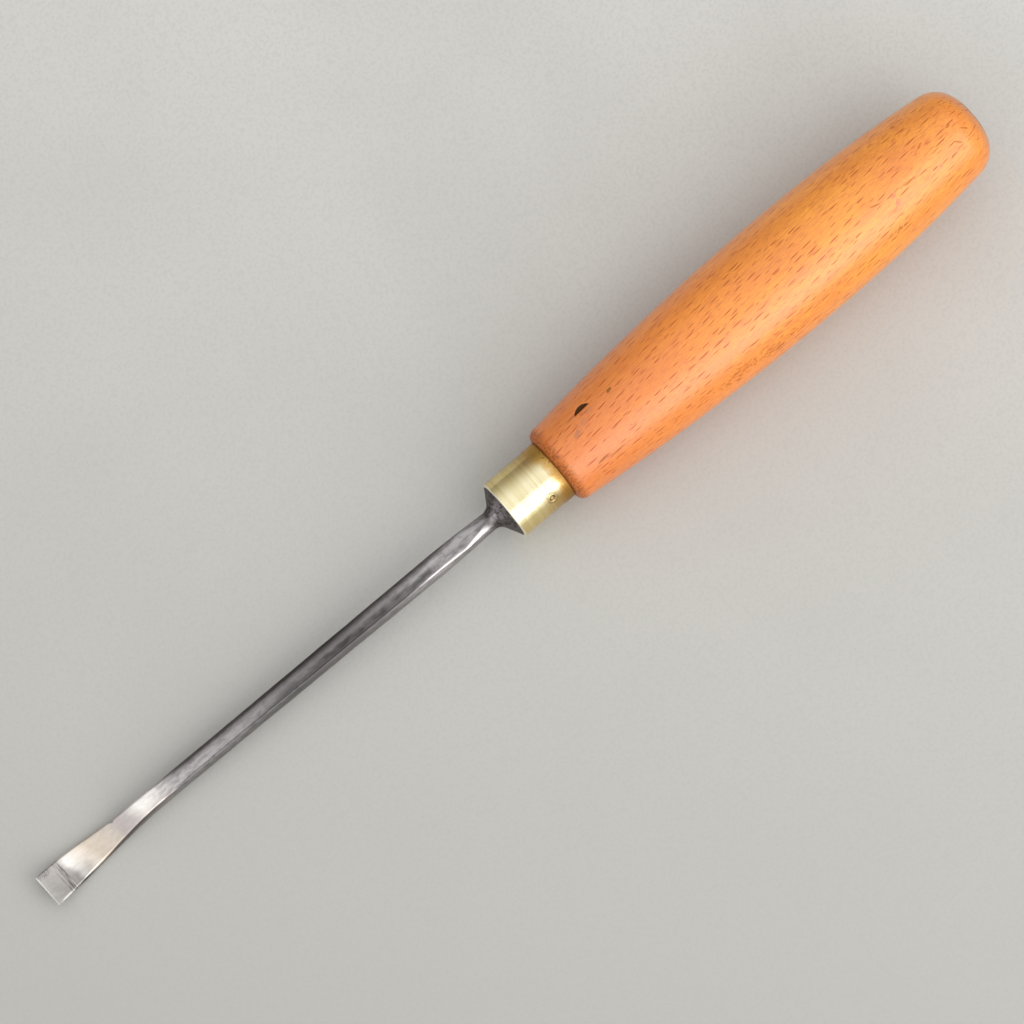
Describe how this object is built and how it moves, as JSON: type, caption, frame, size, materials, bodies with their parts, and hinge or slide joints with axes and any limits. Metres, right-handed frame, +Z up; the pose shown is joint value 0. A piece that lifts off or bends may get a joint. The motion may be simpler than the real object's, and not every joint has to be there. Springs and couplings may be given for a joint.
{
  "type": "spoon gouge",
  "caption": "Woodcarving spoon gouge: a slim steel shank bent to a shallow spoon, set through a flared bolster and a brass ferrule into a turned beech handle.",
  "frame": {"origin": "middle of the bounding box at its lowest level, the table on which the belly of the handle and the back of the spoon rest", "axes": "+X along the tool towards the cutting edge, +Z up from the table with the spoon's hollow side up, +Y to the left of the tool as seen by a user who holds the handle"},
  "size_m": [0.2825, 0.0288, 0.0309],
  "materials": {
    "steel": "forged, dark patina, bright ground spoon",
    "brass": "turned, worn satin with brown tarnish",
    "beech": "old shellac, satin"
  },
  "bodies": {
    "root": {"blade": "steel", "ferrule": "brass", "handle": "beech"}
  },
  "joints": []
}
